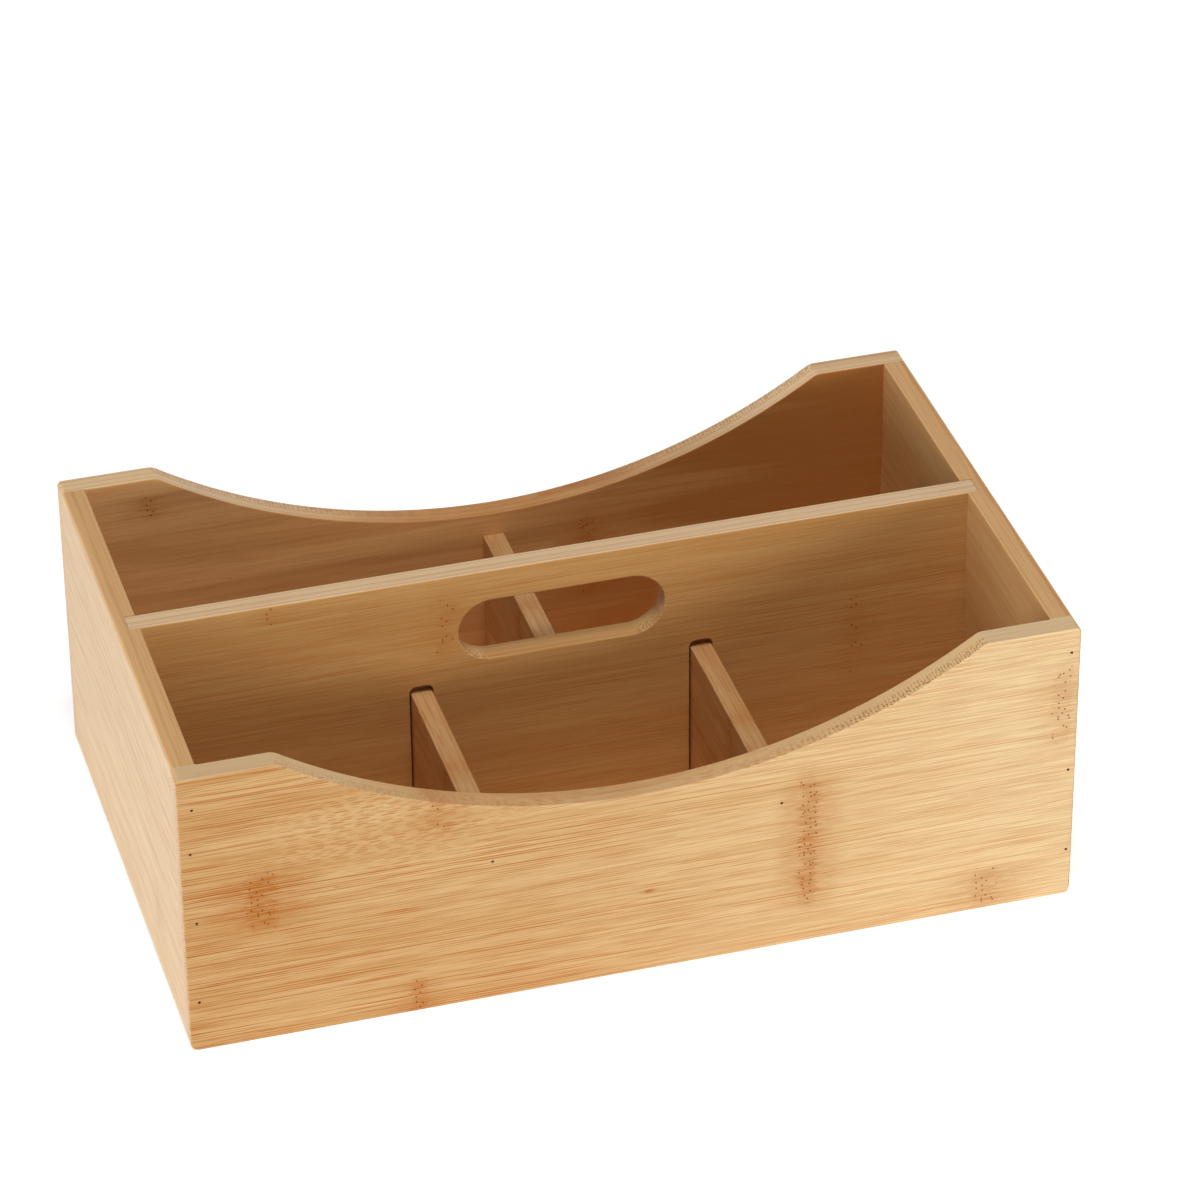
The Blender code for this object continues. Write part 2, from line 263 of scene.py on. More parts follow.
@dataclass(frozen=True)
class Wire:
    """Result of a shader node, which reckons like a number: each step places the node that does it."""

    sheet: "Sheet"
    socket: NodeSocket

    def apply(self, operation: str, *values: Value) -> "Wire":
        """Place a Math node, or a Vector Math node where this is a vector, and return its result."""
        kind = "ShaderNodeVectorMath" if self.socket.type == "VECTOR" else "ShaderNodeMath"
        return self.sheet.place(kind, (self, *values), operation=operation)

    def __add__(self, other: Value) -> "Wire":
        """Add."""
        return self.apply("ADD", other)

    def __sub__(self, other: Value) -> "Wire":
        """Subtract."""
        return self.apply("SUBTRACT", other)

    def __rsub__(self, other: float) -> "Wire":
        """Subtract from a plain number."""
        return self.sheet.place("ShaderNodeMath", (other, self), operation="SUBTRACT")

    def __mul__(self, other: Value) -> "Wire":
        """Multiply."""
        return self.apply("MULTIPLY", other)

    def __truediv__(self, other: Value) -> "Wire":
        """Divide."""
        return self.apply("DIVIDE", other)

    def __abs__(self) -> "Wire":
        """Drop the sign."""
        return self.apply("ABSOLUTE")

    def length(self) -> "Wire":
        """Measure a vector."""
        return Wire(self.sheet, self.apply("LENGTH").socket.node.outputs["Value"])

    def parts(self) -> tuple["Wire", ...]:
        """Separate a vector or a colour into its three numbers."""
        first = self.sheet.place("ShaderNodeSeparateXYZ", (self,))
        return tuple(Wire(self.sheet, result) for result in first.socket.node.outputs)

    def ease(self, low: Value, high: Value, start: Value = 0.0, end: Value = 1.0) -> "Wire":
        """Map smoothly from one range to another, held at both ends.

        Args:
            low: Where the change starts.
            high: Where it ends.
            start: Result below low.
            end: Result above high.

        Returns:
            The mapped number.
        """
        values = (self, low, high, start, end)
        return self.sheet.place("ShaderNodeMapRange", values, interpolation_type="SMOOTHSTEP", clamp=True)

    def noise(self, detail: float = 1.0, roughness: float = 0.5) -> "Wire":
        """Read smooth noise at a place that is already stretched to the size of the pattern.

        Args:
            detail: How many finer layers it has.
            roughness: How strong those layers are.

        Returns:
            A number, about 0.5 in the middle.
        """
        node = self.sheet.add("ShaderNodeTexNoise", noise_dimensions="3D")
        values = {"Vector": self, "Scale": 1.0, "Detail": detail, "Roughness": roughness}
        return self.sheet.fill(node, values).fac

    def chance(self) -> tuple["Wire", ...]:
        """Draw three random numbers for each whole-numbered place."""
        node = self.sheet.add("ShaderNodeTexWhiteNoise", noise_dimensions="3D")
        return self.sheet.fill(node, {"Vector": self}).color.parts()


class Sheet:
    """Places and links shader nodes in one tree, in the order in which they are made."""

    column_height: int = 4
    spacing: Pair = (220.0, -190.0)
    mix_inputs: tuple[int, int, int] = (0, 6, 7)
    mix_output: int = 2

    def __init__(self, tree: NodeTree) -> None:
        """Start on a node tree."""
        self.tree = tree
        self.count = 0

    def add(self, kind: str, **settings: object) -> Node:
        """Add a node.

        Args:
            kind: Blender's name for the node.
            **settings: Values of the node's own settings.

        Returns:
            The node.
        """
        node = self.tree.nodes.new(kind)
        column, row = divmod(self.count, self.column_height)
        node.location = (self.spacing[0] * column, self.spacing[1] * row)
        self.count += 1
        for name, value in settings.items():
            setattr(node, name, value)
        return node

    def plug(self, socket: NodeSocket, value: Value) -> None:
        """Link a socket to a node's result, or set its value.

        Args:
            socket: An input.
            value: A result, a number, a vector or a colour.
        """
        if isinstance(value, Wire):
            self.tree.links.new(value.socket, socket)
        elif isinstance(value, (int, float)):
            socket.default_value = value
        else:
            socket.default_value = (*value, 1.0) if socket.type == "RGBA" else tuple(value)

    def place(self, kind: str, values: Iterable[Value], **settings: object) -> Wire:
        """Add a node and plug its first inputs.

        Args:
            kind: Blender's name for the node.
            values: What goes into its inputs, in order.
            **settings: Values of the node's own settings.

        Returns:
            The node's first result.
        """
        node = self.add(kind, **settings)
        for socket, value in zip(node.inputs, values):
            self.plug(socket, value)
        return Wire(self, node.outputs[0])

    def fill(self, node: Node, values: Mapping[str, Value]) -> SimpleNamespace:
        """Plug inputs of a node by their names.

        Args:
            node: The node.
            values: What goes into each input.

        Returns:
            The node's results by name, in small letters with underscores for spaces.
        """
        for name, value in values.items():
            self.plug(node.inputs[name], value)
        named = [result for result in node.outputs if result.name]
        return SimpleNamespace(**{result.name.lower().replace(" ", "_"): Wire(self, result) for result in named})

    def join(self, x: Value, y: Value, z: Value) -> Wire:
        """Join three numbers into a vector."""
        return self.place("ShaderNodeCombineXYZ", (x, y, z))

    def coordinate(self, name: str) -> Wire:
        """Read one of the coordinates that belong to the object."""
        return Wire(self, self.add("ShaderNodeTexCoord").outputs[name])

    def mix(self, factor: Value, first: Value, second: Value) -> Wire:
        """Mix two colours.

        Args:
            factor: Share of the second colour.
            first: First colour.
            second: Second colour.

        Returns:
            The mixed colour.
        """
        node = self.add("ShaderNodeMix", data_type="RGBA", clamp_factor=True)
        for index, value in zip(self.mix_inputs, (factor, first, second)):
            self.plug(node.inputs[index], value)
        return Wire(self, node.outputs[self.mix_output])

    def paint(self, ground: Wire, coats: Iterable[tuple[Value, Value]]) -> Wire:
        """Paint a colour over with others in turn.

        Args:
            ground: The colour underneath.
            coats: How much each coat covers, and its colour.

        Returns:
            The painted colour.
        """
        for share, colour in coats:
            ground = self.mix(share, ground, colour)
        return ground

    def bump(self, strength: float, distance: float, height: Wire) -> Wire:
        """Turn a height into a normal, at a strength and for a distance in metres."""
        values = {"Strength": strength, "Distance": distance, "Height": height}
        return self.fill(self.add("ShaderNodeBump"), values).normal

    def group(self, tree: NodeTree, **values: Value) -> SimpleNamespace:
        """Place a node group with its inputs, and return its results by name."""
        return self.fill(self.add("ShaderNodeGroup", node_tree=tree), values)

    def close(self, **results: Wire) -> NodeTree:
        """End a node group.

        Args:
            **results: What the group gives, by name.

        Returns:
            The group.
        """
        for name, wire in results.items():
            kind = "NodeSocketVector" if wire.socket.type == "VECTOR" else "NodeSocketFloat"
            self.tree.interface.new_socket(name, in_out="OUTPUT", socket_type=kind)
        self.fill(self.add("NodeGroupOutput"), results)
        return self.tree


def new_group(name: str, vectors: Sequence[str], numbers: Sequence[str] = ()) -> tuple[Sheet, SimpleNamespace]:
    """Start a node group.

    Args:
        name: Name of the group.
        vectors: Names of its vector inputs.
        numbers: Names of its number inputs.

    Returns:
        A sheet on the group's tree, and its inputs by name.
    """
    tree = bpy.data.node_groups.new(name, "ShaderNodeTree")
    for kind, labels in (("NodeSocketVector", vectors), ("NodeSocketFloat", numbers)):
        for label in labels:
            tree.interface.new_socket(label, in_out="INPUT", socket_type=kind)
    sheet = Sheet(tree)
    return sheet, sheet.fill(sheet.add("NodeGroupInput"), {})


def new_material(name: str) -> tuple[Material, Sheet, Node]:
    """Start a material.

    Args:
        name: Name of the material.

    Returns:
        The material, a sheet on its tree and its shader.
    """
    material = bpy.data.materials.new(name)
    material.use_nodes = True
    return material, Sheet(material.node_tree), material.node_tree.nodes["Principled BSDF"]


# Bamboo


class BambooGroups:
    """Node groups that all the bamboo boards share.

    A board's vector is in millimetres and has its fibres along X, its thickness along Y and its breadth along Z.
    The sizes below say how large a pattern is along each of them.
    """

    wander_size: Pair = (30.0, 26.0)
    sway_shift: Triple = (17.3, 5.1, 9.7)
    fray_size: Triple = (28.0, 3.0, 2.4)
    thinning_size: Triple = (24.0, 0.9, 0.9)
    fine_size: Triple = (26.0, 0.34, 0.34)
    broad_size: Triple = (60.0, 1.3, 1.3)
    band_size: Triple = (190.0, 9.0, 9.0)
    bold_size: Triple = (120.0, 14.0, 6.5)
    ragged_size: Triple = (7.0, 0.8, 0.55)
    curl_size: Triple = (30.0, 6.0, 7.0)
    pit_spacing: Pair = (2.0, 2.5)
    ply_wave: Triple = (60.0, 60.0, 60.0)

    def __init__(self) -> None:
        """Build every group once."""
        self.wander = self.make_wander()
        self.bundles = self.make_bundles()
        self.fine_fibres = self.make_fine_fibres()
        self.drift = self.make_drift()
        self.patch = self.make_patch()
        self.knuckle = self.make_knuckle()
        self.plies = self.make_plies()

    def make_wander(self) -> NodeTree:
        """Make the group that lets the fibres wander.

        Returns:
            The group, with the vector that wanders.
        """
        sheet, given = new_group("fibre_wander", ["vector"], ["waver", "wave_length"])
        slow = given.vector / sheet.join(given.wave_length, *self.wander_size)
        rise = slow.noise() - 0.5
        sway = (slow + self.sway_shift).noise() - 0.5
        fray = ((given.vector / self.fray_size).noise() - 0.5) * 0.9
        return sheet.close(vector=given.vector + sheet.join(0.0, sway * given.waver + fray, rise * given.waver))

    def make_bundles(self) -> NodeTree:
        """Make the group of dark fibre bundles, which stand in staggered rows across the end grain.

        Each bundle is an oval, with its own reach across the board's breadth and through its thickness. It thins
        out here and there along the board, and where dashes are asked for it breaks into short pointed lengths.

        Returns:
            The group, with a mask of the bundles and a random number for each.
        """
        sheet, given = new_group("fibre_bundles", ["vector"], ["pitch", "half_height", "half_depth", "dashes"])
        along, deep, across = given.vector.parts()
        row = across / given.pitch
        row_number = row.apply("FLOOR")
        row_shift = sheet.join(row_number, 0.0, 0.0).chance()[0]
        column = deep / (given.pitch * 2.0) + row_number * 0.5 + row_shift
        column_number = column.apply("FLOOR")
        first, second, third = sheet.join(row_number, column_number, 1.0).chance()
        off_row = self.off_centre(row, row_number, first) * given.pitch / given.half_height
        off_column = self.off_centre(column, column_number, second) * given.pitch / given.half_depth
        distance = (off_row * off_row + off_column * off_column).apply("SQRT")
        uneven = (given.vector / self.thinning_size).noise()
        thin = uneven.ease(0.34, 0.6, 0.6, 0.0) * (1.0 - given.dashes)
        length = third * 5.0 + 4.5
        step = (first * 6.0 + along / length).apply("FRACT")
        broken = abs(step - 0.5).ease(0.16, 0.44, 0.0, 1.3) * given.dashes
        mask = (distance + thin + broken).ease(0.25, 1.25, 1.0, 0.0)
        return sheet.close(mask=mask, own_tone=third)

    @staticmethod
    def off_centre(place: Wire, number: Wire, chance: Wire) -> Wire:
        """Measure how far a place lies from the middle of its numbered row, which chance shifts."""
        return place - number + (chance * 0.4 - 0.7)

    def make_fine_fibres(self) -> NodeTree:
        """Make the group of hair-fine fibres between the bundles.

        Returns:
            The group, with a number about 0.5 in the middle.
        """
        sheet, given = new_group("fine_fibres", ["vector"])
        fine = (given.vector / self.fine_size).noise(detail=2.0, roughness=0.6)
        broad = (given.vector / self.broad_size).noise()
        return sheet.close(shade=fine * 0.74 + broad * 0.26)

    def make_drift(self) -> NodeTree:
        """Make the group of slow colour drift, from strip to strip and along the board.

        Returns:
            The group, with the drift and with where the bundles stand out.
        """
        sheet, given = new_group("board_drift", ["vector"])
        bands = (given.vector / self.band_size).noise(detail=3.0, roughness=0.55)
        strong = (given.vector / self.bold_size).noise(detail=2.0)
        return sheet.close(drift=bands.ease(0.32, 0.68), bold=strong.ease(0.36, 0.6))

    def make_patch(self) -> NodeTree:
        """Make the group of one soft oval patch of a board.

        Returns:
            The group, with the mask of the patch.
        """
        sheet, given = new_group("board_patch", ["vector", "centre", "reach"])
        ring = ((given.vector - given.centre) / given.reach).length()
        return sheet.close(mask=ring.ease(0.3, 1.0, 1.0, 0.0))

    def make_knuckle(self) -> NodeTree:
        """Make the group of one knuckle, the ring where a stem had its joint.

        Returns:
            The group, with the mask of its stain and of its pits.
        """
        numbers = ["along", "across", "half_width", "half_height", "strength", "pitted"]
        sheet, given = new_group("knuckle", ["vector"], numbers)
        along, _, across = given.vector.parts()
        off = along - given.along
        up = across - given.across
        ragged = (given.vector / self.ragged_size).noise(detail=3.0, roughness=0.65)
        curl = (given.vector / self.curl_size).noise()
        width = abs((curl - 0.5) * given.half_width + off) / given.half_width
        frayed = (0.5 - ragged) * 2.2 + width
        height = abs(up) / given.half_height
        ends = ((ragged - 0.5) * 0.9 + height).ease(0.72, 1.2, 1.0, 0.0)
        heart = frayed.ease(0.35, 1.25, 0.8, 0.0)
        halo = frayed.ease(0.4, 3.2, 0.5, 0.0)
        threads = ragged.ease(0.34, 0.66, 0.45, 1.0)
        stain = heart.apply("MAXIMUM", halo) * threads * ends * given.strength
        node = sheet.add("ShaderNodeTexVoronoi", voronoi_dimensions="2D", feature="F1")
        grid = sheet.join(off / self.pit_spacing[0], up / self.pit_spacing[1], 0.0)
        cell = sheet.fill(node, {"Vector": grid, "Scale": 1.0, "Randomness": 0.85})
        chosen = cell.color.parts()[0].apply("LESS_THAN", given.pitted)
        core = width.ease(0.45, 0.62, 1.0, 0.0) * height.ease(0.85, 1.0, 1.0, 0.0)
        return sheet.close(stain=stain, pits=cell.distance.ease(0.1, 0.21, 1.0, 0.0) * chosen * core)

    def make_plies(self) -> NodeTree:
        """Make the group of glued plies, which show where a board's edge is cut across its thickness.

        Returns:
            The group, with the mask of the glue lines and a random number for each ply.
        """
        sheet, given = new_group("plies", ["vector"], ["middle", "ply"])
        wave = (given.vector / self.ply_wave).noise()
        layer = (wave * 0.5 + (given.vector.parts()[1] - given.middle)) / given.ply
        near = abs(layer - layer.apply("ROUND"))
        node = sheet.add("ShaderNodeTexWhiteNoise", noise_dimensions="1D")
        own_tone = sheet.fill(node, {"W": layer.apply("FLOOR")}).value
        return sheet.close(line=near.ease(0.015, 0.07, 1.0, 0.0), own_tone=own_tone)


@dataclass(frozen=True)
class DashPatch:
    """Oval patch of a board where the bundles break into dashes, in millimetres.

    Attributes:
        centre: Middle of the patch.
        reach: How far it reaches from its middle.
    """

    centre: Triple
    reach: Triple


@dataclass(frozen=True)
class Knuckle:
    """Place of one knuckle on a board, in millimetres.

    Attributes:
        along: Place along the fibres.
        across: Height of its middle.
        half_width: Half its width along the fibres.
        half_height: Half its height.
        strength: How dark it is, from 0 to 1.
        pitted: How many of the places for pits have one, from 0 to 1.
    """

    along: float
    across: float
    half_width: float
    half_height: float
    strength: float = 1.0
    pitted: float = 0.6


@dataclass(frozen=True)
class BambooFinish:
    """Satin lacquered bamboo of one board.

    Attributes:
        name: Name of the material.
        pale: Colour between the fibres.
        honey: Colour where the board drifts darker.
        run: Which way the fibres run.
        streak: Colour of the fibre bundles.
        far_streak: Colour that they turn to where the board is painted paler by light.
        stain: Colour of the knuckles.
        pit: Colour of their pits.
        shift: Millimetres added to the board's vector, so that no two boards look alike.
        middle: Place of the board's middle through its thickness, in millimetres.
        ply: Thickness of one ply, in millimetres.
        glue: How dark the glue lines between the plies are.
        depth: How dark the board is between pale and honey, before its drift.
        dots_start: Place along the board where the bundles begin to show dark in cut edges, in millimetres.
        dots_full: Place from which they show fully.
        skin_side: Sign of the face that lay towards the skin of the stem, where the bundles are densest. The same
            face takes the painted sheen.
        skin_tone: Colour of the painted sheen that this face turns to.
        skin_share: How strong that painted sheen is.
        edge_pale: How far the board's upward faces near the organizer's top are painted paler, as painted top
            light and sheen.
        edge_shade: How far upward faces lower down are painted darker in the colour of the bundles, as painted
            shade.
        cut_ground: Colour of that painted top light on upward faces near the organizer's top.
        cut_brown: Colour that the wood turns to where it is cut across the fibres.
        cut_dots: Colour of the bundles there.
        end_tone: Colour that the board's two ends turn to.
        contrast: Strength of the bundles on the faces.
        waver: How far the fibres wander, in millimetres.
        wave_length: How long one wave of that wander is, in millimetres.
        fibre: Strength of the hair-fine fibres.
        fade: How much paler the board is painted at its far end along the fibres than at its near end. This is
            painted light, standing in for sheen and for light that falls off along the board.
        half_length: Half the board's length, in millimetres, for that fade.
        dashes: Patches where the bundles break into dashes.
        knuckles: The board's knuckles.
        facing_range: From where to where a surface that turns towards a direction counts as facing it.
        end_range: The same for the board's two ends.
        pale_heights: Heights between which upward faces take the painted top light, in millimetres.
        shade_heights: Heights between which upward faces lose that painted shade.
        skin_reach: Distance from the middle at which the bundles are as dense as at the skin.
    """

    name: str
    pale: Colour
    honey: Colour
    run: FibreRun = FibreRun.ALONG_X
    streak: Colour = tint(182, 94, 10)
    far_streak: Colour = tint(222, 132, 36)
    stain: Colour = tint(186, 102, 14)
    pit: Colour = tint(128, 58, 2)
    shift: Triple = (0.0, 0.0, 0.0)
    middle: float = 0.0
    ply: float = 2.9
    glue: float = 0.5
    depth: float = 0.3
    dots_start: float = -200.0
    dots_full: float = -190.0
    skin_side: float = -1.0
    skin_tone: Colour = tint(248, 224, 184)
    skin_share: float = 0.0
    edge_pale: float = 0.0
    edge_shade: float = 0.0
    cut_ground: Colour = tint(232, 200, 156)
    cut_brown: Colour = tint(222, 180, 122)
    cut_dots: Colour = tint(146, 86, 34)
    end_tone: Colour = tint(238, 204, 164)
    contrast: float = 0.75
    waver: float = 1.6
    wave_length: float = 150.0
    fibre: float = 0.34
    fade: float = 0.0
    half_length: float = 160.0
    dashes: tuple[DashPatch, ...] = ()
    knuckles: tuple[Knuckle, ...] = ()
    facing_range: ClassVar[Pair] = (0.6, 0.9)
    end_range: ClassVar[Pair] = (0.85, 0.98)
    pale_heights: ClassVar[Pair] = (80.0, 108.0)
    shade_heights: ClassVar[Pair] = (80.0, 100.0)
    skin_reach: ClassVar[float] = 1.5

    def along_fibres(self, vector: Wire) -> Wire:
        """Turn a vector of the organizer so that the board's fibres run along its X."""
        x, y, z = vector.parts()
        return vector.sheet.join(x, y, z) if self.run is FibreRun.ALONG_X else vector.sheet.join(y, x, z)

    def make(self, groups: BambooGroups) -> Material:
        """Make the material.

        Args:
            groups: Node groups shared by the boards.

        Returns:
            The material.
        """
        material, sheet, shader = new_material(self.name)
        board = self.along_fibres(sheet.coordinate("Object") / (MM, MM, MM))
        along, deep, height = board.parts()
        facing, outward, upward = self.along_fibres(sheet.coordinate("Normal")).parts()
        facing = abs(facing)
        up = upward.ease(*self.facing_range)
        on_face = abs(outward).ease(*self.facing_range)
        # Painted sheen: this marks the face that is painted pale, in place of a reflection of the side light.
        on_sheen_side = (outward * self.skin_side).ease(*self.facing_range)
        wander = sheet.group(groups.wander, vector=board, waver=self.waver, wave_length=self.wave_length)
        own = board + self.shift
        grain = wander.vector + self.shift
        share = along * (0.5 / self.half_length) + 0.5
        # Painted light: far is the share of painted light along the board, which lifts its tone towards pale and
        # washes out its drift and bundles.
        far = (share * (0.65 * self.fade) + 0.35 * self.fade) * share
        calm = far * -0.6 + 1.0
        dashed: Value = 0.0
        for patch in self.dashes:
            spot = sheet.group(groups.patch, vector=board, **asdict(patch))
            dashed = spot.mask.apply("MAXIMUM", dashed)

        drift = sheet.group(groups.drift, vector=own)
        fine = sheet.group(groups.fine_fibres, vector=grain)
        plies = sheet.group(groups.plies, vector=board, middle=self.middle, ply=self.ply)
        bundles = sheet.group(
            groups.bundles, vector=grain, pitch=0.92, half_height=far * -0.08 + 0.34,
            half_depth=dashed * 0.2 + 0.66, dashes=dashed,
        )
        dots = sheet.group(groups.bundles, vector=own, pitch=0.56, half_height=0.2, half_depth=0.34, dashes=0.0)

        cut = facing.ease(0.08, 0.4) * facing.ease(*self.facing_range, 1.0, 0.5)
        cut = cut * along.ease(self.dots_start, self.dots_full, 0.3, 1.0)
        dense = ((deep - self.middle) * self.skin_side).ease(-self.skin_reach, self.skin_reach, 0.1, 1.0)
        lines = bundles.mask * (bundles.own_tone * 0.5 + 0.5) * dense * (drift.bold * 0.4 + 0.6) * calm
        lines = lines * (up * (-0.4 * self.contrast) + self.contrast) * (1.0 - cut) * (dashed * -0.25 + 1.0)
        specks = dots.mask * dense * cut
        marks = lines.apply("MAXIMUM", specks)

        # The tone is painted paler by far, as painted light along the board.
        tone = drift.drift * calm * 0.34 + self.depth - far + (plies.own_tone - 0.5) * 0.14
        colour = sheet.paint(sheet.mix(tone, self.pale, self.honey), [
            (fine.shade.ease(0.4, 0.66, 0.0, self.fibre), self.streak),
            # Painted light: upward faces near the top are painted paler, standing in for top light and sheen.
            (up * height.ease(*self.pale_heights, 0.0, self.edge_pale), self.cut_ground),
            # Painted shade: upward faces low in the scoop are painted darker with the colour of the bundles.
            (up * height.ease(*self.shade_heights, self.edge_shade, 0.0), self.streak),
            (cut * 0.55, self.cut_brown),
            # Painted sheen: that face turns pale, in place of a reflection.
            (on_sheen_side * self.skin_share, self.skin_tone),
            (facing.ease(*self.end_range, 0.0, 0.75), self.end_tone),
            # The bundles turn a paler orange where painted light lies on the board.
            (lines, sheet.mix(far, self.streak, self.far_streak)),
            (specks * 0.85, self.cut_dots),
            (plies.line * self.glue, self.streak),
        ])
        pits: Value = 0.0
        for knuckle in self.knuckles:
            ring = sheet.group(groups.knuckle, vector=board, **asdict(knuckle))
            colour = sheet.mix(ring.stain, colour, self.stain)
            pits = ring.pits.apply("MAXIMUM", pits)
        pits = on_face * pits
        sheet.fill(shader, {
            "Base Color": sheet.mix(pits * 0.8, colour, self.pit),
            "Roughness": marks * 0.14 + 0.42 + pits * 0.3,
            "Specular IOR Level": 0.1,
            "Coat Weight": pits * -0.06 + 0.06,
            "Coat Roughness": 0.3,
            "Normal": sheet.bump(
                strength=0.35, distance=0.05 * MM, height=fine.shade * 0.5 - marks * 0.6 - pits * 1.2,
            ),
        })
        return material


@dataclass(frozen=True)
class BradFinish:
    """Dark steel of the brads, dulled by lacquer and filler.

    Attributes:
        name: Name of the material.
        steel: Colour of the steel.
        rust: Colour of the rusty spots.
        spot: Size of the spots, in metres.
    """

    name: str = "brad_steel"
    steel: Colour = tint(84, 52, 28)
    rust: Colour = tint(116, 66, 26)
    spot: float = MM / 2.4

    def make(self) -> Material:
        """Make the material.

        Returns:
            The material.
        """
        material, sheet, shader = new_material(self.name)
        spots = (sheet.coordinate("Object") / (self.spot, self.spot, self.spot)).noise(detail=3.0, roughness=0.6)
        sheet.fill(shader, {
            "Base Color": sheet.mix(spots.ease(0.42, 0.62), self.steel, self.rust),
            "Roughness": spots.ease(0.3, 0.7, 0.45, 0.8),
            "Metallic": 0.2,
            "Specular IOR Level": 0.1,
            "Normal": sheet.bump(strength=0.4, distance=0.03 * MM, height=spots),
        })
        return material


# Boards


@dataclass(frozen=True)
class Joinery:
    """Main planes of the organizer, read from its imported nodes, in metres.

    Attributes:
        half_width: From the middle to the outer face of an end panel.
        half_depth: From the middle to the outer face of the front panel.
        height: Height of the ears.
        panel: Thickness of the front and rear panels.
        end: Thickness of the end panels.
        divider: Thickness of the divider.
        floor: Upper face of the base board.
    """

    half_width: float
    half_depth: float
    height: float
    panel: float
    end: float
    divider: float
    floor: float

    @classmethod
    def measured(cls) -> "Joinery":
        """Read the planes from the frame.

        Returns:
            The measured planes.
        """
        panel, end, divider = [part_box(node) for node in ("front_panel", "left_end_panel", "centre_divider")]
        return cls(
            half_width=panel[1].x, half_depth=-panel[0].y, height=panel[1].z, panel=panel[1].y - panel[0].y,
            end=end[1].x - end[0].x, divider=divider[1].y - divider[0].y, floor=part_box("base_board")[1].z,
        )

    @property
    def inner_half_width(self) -> float:
        """Distance from the middle to an end panel's inner face."""
        return self.half_width - self.end

    @property
    def inner_half_depth(self) -> float:
        """Distance from the middle to the front panel's inner face."""
        return self.half_depth - self.panel


@dataclass
class Board:
    """A board: turns a drawn mesh into a piece of the organizer. Its sizes are in metres.

    Attributes:
        name: Name of the new piece.
        node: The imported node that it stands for.
        joinery: Main planes of the organizer.
        slot: The record's material slot.
        piece: The piece, once it is built.
    """

    name: str
    node: str
    joinery: Joinery
    slot: ClassVar[str] = "bamboo_inner"
    piece: Object | None = field(default=None, init=False)

    def finish(self, bm: BMesh) -> None:
        """Make the piece and set it on the organizer.

        Args:
            bm: Its drawn mesh, which is freed.
        """
        bmesh.ops.recalc_face_normals(bm, faces=bm.faces)
        self.piece = add_mesh(self.name, bm)
        mesh = self.piece.data
        mesh.shade_smooth()
        mesh.set_sharp_from_angle(angle=SHARP_ANGLE)
        even = self.piece.modifiers.new("even_faces", "WEIGHTED_NORMAL")
        even.keep_sharp = True
        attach(self.piece, BODY)
        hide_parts(self.node)
        LOG.info("%s: %d faces", self.name, len(mesh.polygons))

    def dress(self, finish: BambooFinish, groups: BambooGroups) -> None:
        """Give the piece its finish."""
        self.piece.data.materials.append(finish.make(groups))


